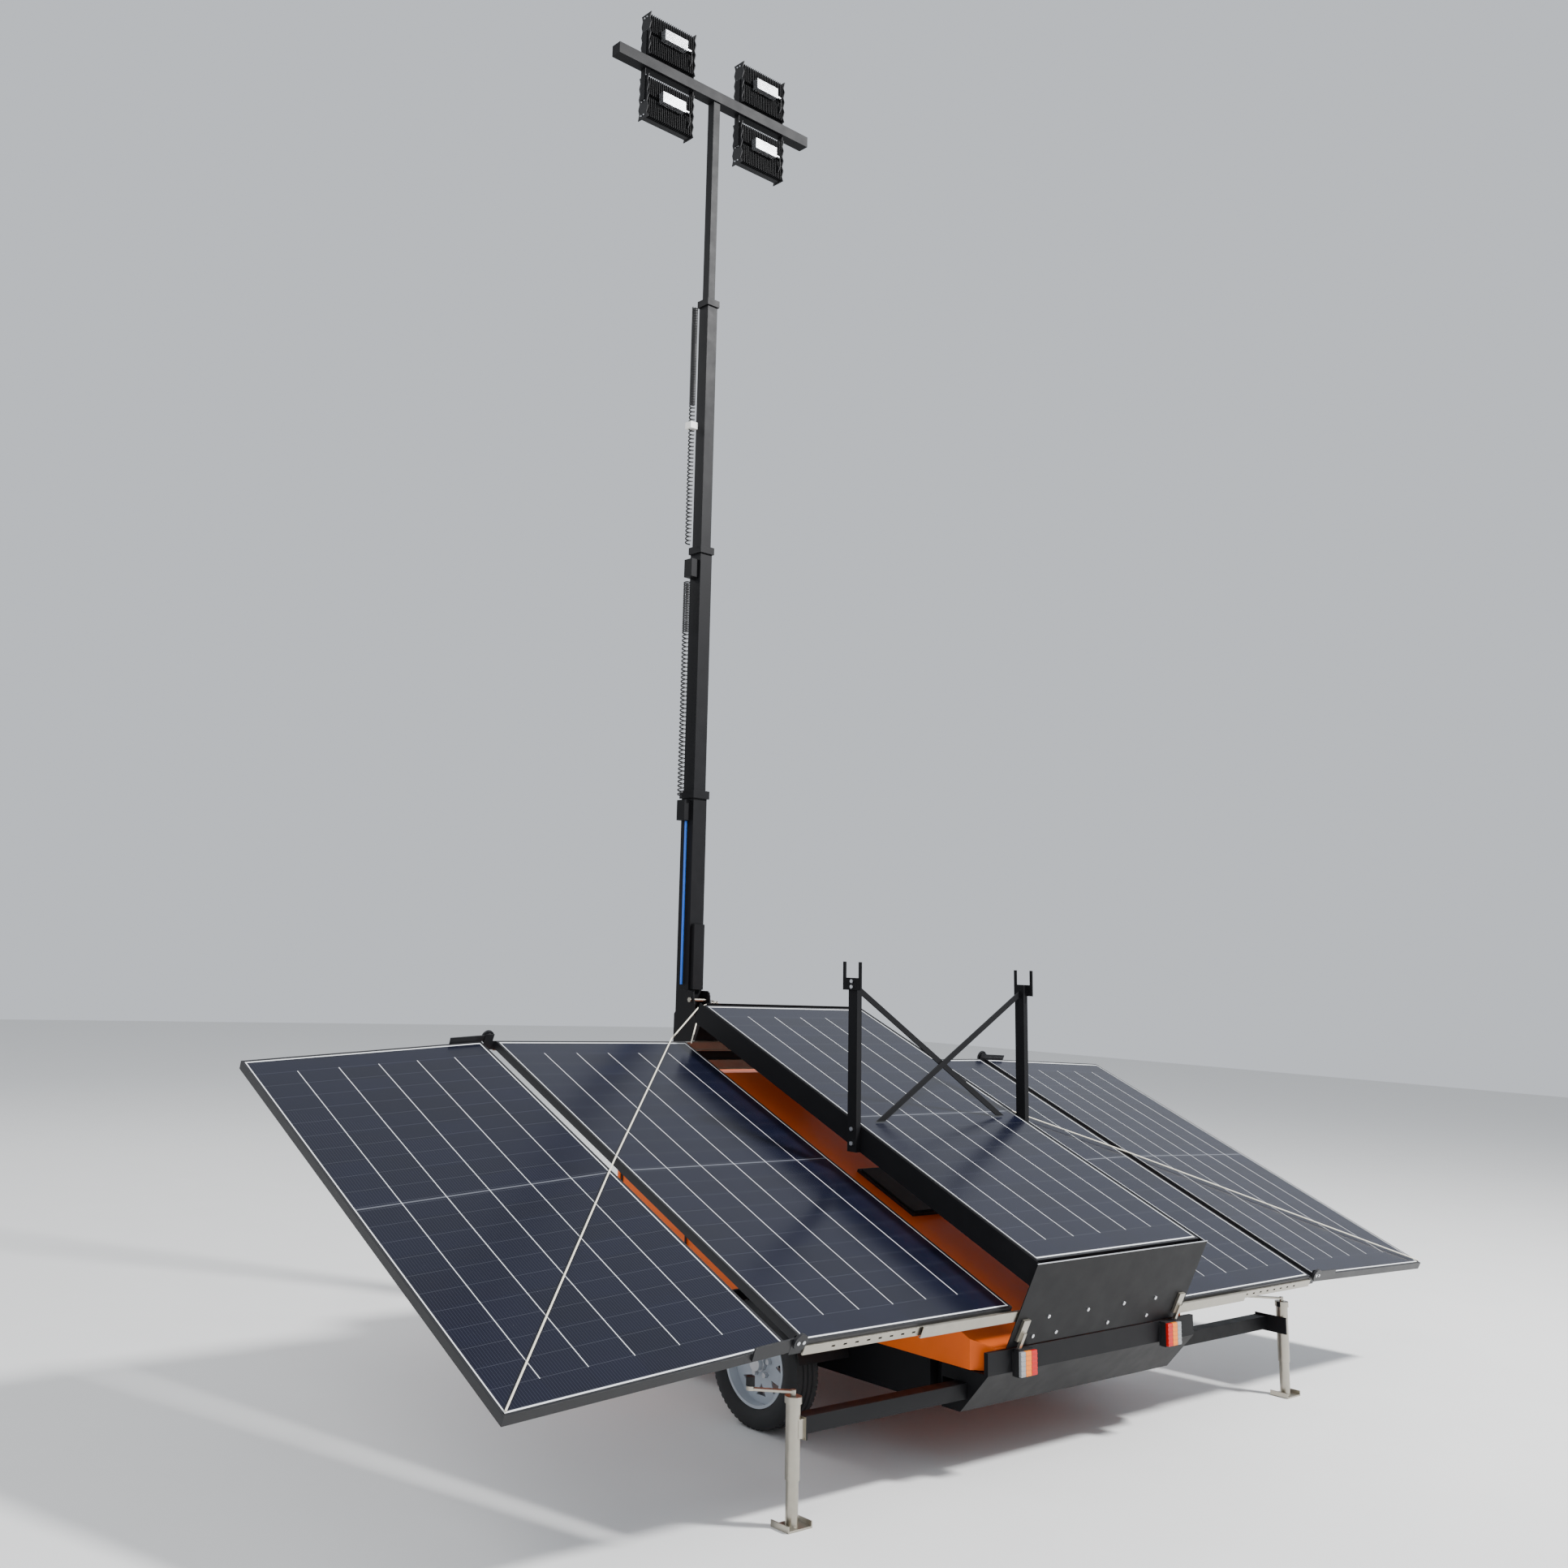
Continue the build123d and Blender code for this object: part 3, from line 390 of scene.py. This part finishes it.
# ------------------------------------------------------------ tyres
for side, s in (("left", -1), ("right", 1)):
    cx, cy, cz = s * 0.925, -0.86, 0.25
    prof = [(0.168, -0.058), (0.176, -0.066), (0.198, -0.0745), (0.222, -0.075), (0.238, -0.069), (0.247, -0.060),
            (0.2495, -0.040)]
    for g in (-0.026, 0.0, 0.026):
        prof += [(0.25, g - 0.006), (0.243, g - 0.003), (0.243, g + 0.003), (0.25, g + 0.006)]
    prof += [(0.2495, 0.040), (0.247, 0.060), (0.238, 0.069), (0.222, 0.075), (0.198, 0.0745), (0.176, 0.066), (0.168, 0.058)]
    bm = bmesh.new()
    seg = 120
    rings = [[bm.verts.new((cx + x, cy + q * math.cos(t), cz + q * math.sin(t))) for q, x in prof]
             for t in [2 * math.pi * i / seg for i in range(seg)]]
    for i in range(seg):
        r0, r1 = rings[i], rings[(i + 1) % seg]
        for j in range(len(prof)):
            k = (j + 1) % len(prof)
            bm.faces.new((r0[j], r0[k], r1[k], r1[j]))
    for i in range(60):
        t = 2 * math.pi * i / 60
        for e in (-1, 1):
            q = Matrix.Translation((cx + e * 0.052, cy, cz)) @ Matrix.Rotation(t, 4, "X") @ Matrix.Translation((0, 0, 0.2458))
            bx(bm, (-0.009, -0.0075, -0.006), (0.009, 0.0075, 0.0035), 0, q)
    bmesh.ops.recalc_face_normals(bm, faces=bm.faces)
    ob = obj_from(bm, side + " tyre tread", [RUBBER], 35)
    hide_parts(side + "_tyre")
    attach(ob, side + "_wheel")

# ------------------------------------------------------------ tail lamps
bm = bmesh.new()
for s in (-1, 1):
    for k, (d0, d1) in enumerate(((0.555, 0.527), (0.525, 0.491), (0.489, 0.455))):
        x0, x1 = sorted((s * d0, s * d1))
        bx(bm, (x0, -1.868, 0.374), (x1, -1.8572, 0.464), k)
        for j in range(5):
            bx(bm, (x0, -1.8692, 0.380 + j * 0.017), (x1, -1.868, 0.3845 + j * 0.017), k)
ob = obj_from(bm, "tail lamp faces", [CLEAR, AMBER, RED])
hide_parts("tail_lamp_lenses")
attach(ob, "trailer")

# ------------------------------------------------------------ flood lamps
for name, sx, zl in (("lamp_upper_left", -1, 7.345), ("lamp_upper_right", 1, 7.345),
                     ("lamp_lower_left", -1, 6.933), ("lamp_lower_right", 1, 6.933)):
    cx, cy = sx * 0.385, 0.705
    bm = bmesh.new()
    for e in (-1, 1):
        prof = []
        for k in range(9):
            z = -0.140 + 0.280 * k / 8
            prof.append((-0.044 if k % 2 == 0 else -0.032, z))
        prof += [(0.044 if k % 2 == 0 else 0.034, 0.140 - 0.280 * k / 8) for k in range(9)]
        x0, x1 = cx + e * 0.1775, cx + e * 0.184
        va = [bm.verts.new((x0, cy + y, zl + z)) for y, z in prof]
        vb = [bm.verts.new((x1, cy + y, zl + z)) for y, z in prof]
        bm.faces.new(va)
        bm.faces.new(vb[::-1])
        for i in range(len(va)):
            j = (i + 1) % len(va)
            bm.faces.new((va[i], vb[i], vb[j], va[j]))
        for zz in (-0.118, -0.024, 0.024, 0.118):
            for yy in (-0.010, 0.014):
                cyl(bm, (cx + e * 0.183, cy + yy, zl + zz), (cx + e * 0.1875, cy + yy, zl + zz), 0.005, 1, 12)
    for zm in (zl - 0.070, zl + 0.070):
        bx(bm, (cx - 0.177, cy - 0.010, zm - 0.062), (cx + 0.177, cy + 0.026, zm + 0.062), 0)
        for k in range(23):
            xf = cx - 0.165 + 0.015 * k
            bx(bm, (xf - 0.001, cy - 0.036, zm - 0.059), (xf + 0.001, cy - 0.010, zm + 0.059), 0)
        for k in range(8):
            for j in range(3):
                px, pz = cx - 0.150 + k * 0.0429, zm - 0.040 + j * 0.040
                cyl(bm, (px, cy + 0.026, pz), (px, cy + 0.033, pz), 0.017, 2, 16)
    bx(bm, (cx - 0.090, cy - 0.074, zl - 0.022), (cx + 0.090, cy - 0.036, zl + 0.044), 1)
    for k in range(7):
        bx(bm, (cx - 0.088, cy - 0.0765, zl - 0.019 + k * 0.0092), (cx + 0.088, cy - 0.074, zl - 0.016 + k * 0.0092), 1)
    tube(bm, [(cx + 0.090, cy - 0.055, zl), (cx + 0.135, cy - 0.058, zl - 0.01), (cx + 0.145, cy - 0.052, zl - 0.05),
              (cx + 0.140, cy - 0.040, zl - 0.09)], 0.004, 8, 0)
    cyl(bm, (cx + 0.090, cy - 0.055, zl), (cx + 0.128, cy - 0.055, zl), 0.008, 1, 14)
    bmesh.ops.recalc_face_normals(bm, faces=bm.faces)
    ob = obj_from(bm, name + " detail", [PLASTIC, SILVER, LED], 30)
    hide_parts(name)
    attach(ob, name)

# ------------------------------------------------------------ chain
bm = bmesh.new()
path = [Vector((0.080, 0.618, 1.677)), Vector((0.080, 0.560, 1.670)), Vector((-0.050, 0.554, 1.646))]
total = length(path)
cnt = 9
for k in range(cnt):
    d = total * (k + 0.5) / cnt
    q0, q1 = (path[0], path[1]) if d < (path[1] - path[0]).length else (path[1], path[2])
    if q0 is path[1]:
        d -= (path[1] - path[0]).length
    t = (q1 - q0).normalized()
    c = q0 + t * d
    side_v = t.orthogonal().normalized()
    if k % 2:
        side_v = t.cross(side_v)
    ring = []
    for j in range(21):
        w = 2 * math.pi * j / 20
        ring.append(c + t * (0.0125 * math.cos(w)) + side_v * (0.0062 * math.sin(w)))
    tube(bm, ring, 0.0022, 8, 0)
ob = obj_from(bm, "chain links", [ZINC], 50)
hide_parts("anchor_chain")
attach(ob, "trailer")


# ------------------------------------------------------------ small fittings
def fit(body, name, mats, build, smooth=30):
    bm_ = bmesh.new()
    build(bm_)
    bmesh.ops.recalc_face_normals(bm_, faces=bm_.faces)
    o_ = obj_from(bm_, name, mats, smooth)
    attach(o_, body)
    return o_


def rack_bits(b_):
    for x, w in ((-.39, -.245), (-.13, -.245), (.12, -.245), (.35, -.245), (-.45, -.325), (-.30, -.325), (.05, -.325), (.33, -.325)):
        cyl(b_, P(x, -1.0715, w), P(x, -1.0755, w), 0.008, 0, 16)
    for s_ in (-1, 1):
        for z_ in (1.14, 1.20, 1.802, 1.826):
            cyl(b_, (s_ * (0.609 if z_ < 1.5 else 0.617), -1.048, z_), (s_ * (0.616 if z_ < 1.5 else 0.622), -1.048, z_), 0.009, 0, 6)


fit("rack", "rack rivets", [SILVER], rack_bits)
fit("rack", "lid trim", [SILVER], lambda b_: [b_ and tube(b_, [P(-0.594, -1.0705, 0.0012), P(0.594, -1.0705, 0.0012)], 0.0022, 8)])


fit("left_door", "left door seal", [PLASTIC], lambda b_: [bx(b_, (-0.7225, y0, z0), (-0.719, y1, z1)) for y0, y1, z0, z1 in
    ((-0.13, -0.118, 0.435, 0.915), (0.35, 0.362, 0.435, 0.915), (-0.13, 0.362, 0.903, 0.915), (-0.100, -0.040, 0.640, 0.710))])
fit("right_door", "right door seal", [PLASTIC], lambda b_: [bx(b_, (0.719, y0, z0), (0.7225, y1, z1)) for y0, y1, z0, z1 in
    ((-0.13, -0.118, 0.435, 0.915), (0.35, 0.362, 0.435, 0.915), (-0.13, 0.362, 0.903, 0.915), (-0.100, -0.040, 0.640, 0.710))])


def roof_shade_plate(b_):
    # a shallow black plate on the sloping roof: painted shade, a dark sheet standing in for the shaded patch there
    for z0, z1, g in ((-0.366, -0.352, 0.0), (-0.352, -0.346, 0.012)):
        vs = [b_.verts.new(P(x, y, z)) for z in (z0, z1) for x, y in ((-0.22 + g, -0.23 + g), (0.04 - g, -0.23 + g), (0.04 - g, 0.13 - g), (-0.22 + g, 0.13 - g))]
        b_.faces.new(vs[:4])
        b_.faces.new(vs[4:])
        for i in range(4):
            j = (i + 1) % 4
            b_.faces.new((vs[i], vs[j], vs[4 + j], vs[4 + i]))
# the black roof plate is painted shade, not a real cover
fit("trailer", "roof painted shade", [PLASTIC], roof_shade_plate)

for side, s in (("left", -1), ("right", 1)):
    fit(side + "_jack_crank", side + " crank grip", [PLASTIC], lambda b_, s=s: cyl(b_, (s * 1.65 - 0.110, -1.63, 0.441), (s * 1.65 - 0.110, -1.63, 0.4725), 0.0155, 0, 24))
    for e in (-1, 1):
        out, drop, gap = (1.182, 0.197, 0.080) if s < 0 else (1.169, 0.300, 0.050)
        hx = s * (out + 0.567 + gap / 2)
        fit(side + "_inner", f"{side} hinge bolts {e}", [SILVER], lambda b_, hx=hx, drop=drop, e=e:
            [cyl(b_, P(hx + d, e * 1.066, -drop + 0.012), P(hx + d, e * 1.0685, -drop + 0.012), 0.0075, 0, 6) for d in (-0.013, 0.013)])
tape = fit("mast_two", "cord tape", [TAPE], lambda b_: bx(b_, (-0.112, 0.705, 4.98), (-0.058, 0.755, 5.02)))
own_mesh(tape)

# ------------------------------------------------------------ floor and light
bpy.ops.mesh.primitive_plane_add(size=60, location=(0, 0, -0.0005))
floor = bpy.context.object
floor.name = "floor"
floor.data.materials.append(finish_mat("studio floor", (0.72, 0.72, 0.71), 0.85, scale=3, vary=0.02, bump=0.02))
world = bpy.data.worlds.new("studio")
sc.world = world
world.use_nodes = True
wn = world.node_tree.nodes
bg = wn["Background"]
bg.inputs["Color"].default_value = (0.86, 0.90, 0.96, 1)
bg.inputs["Strength"].default_value = 0.80


def area(name, loc, aim, size, power):
    ld = bpy.data.lights.new(name, "AREA")
    ld.shape = "DISK"
    ld.size = size
    ld.energy = power
    lo = bpy.data.objects.new(name, ld)
    sc.collection.objects.link(lo)
    lo.location = loc
    lo.rotation_euler = (Vector(aim) - Vector(loc)).to_track_quat("-Z", "Y").to_euler()


area("key", (5.5, -7.5, 10.5), (0, -0.5, 1.2), 1.6, 3400)
area("fill", (-8, -4, 7), (0, 0, 2.5), 5.0, 350)
area("back", (-2, 9, 9), (0, 0, 3), 4.0, 300)
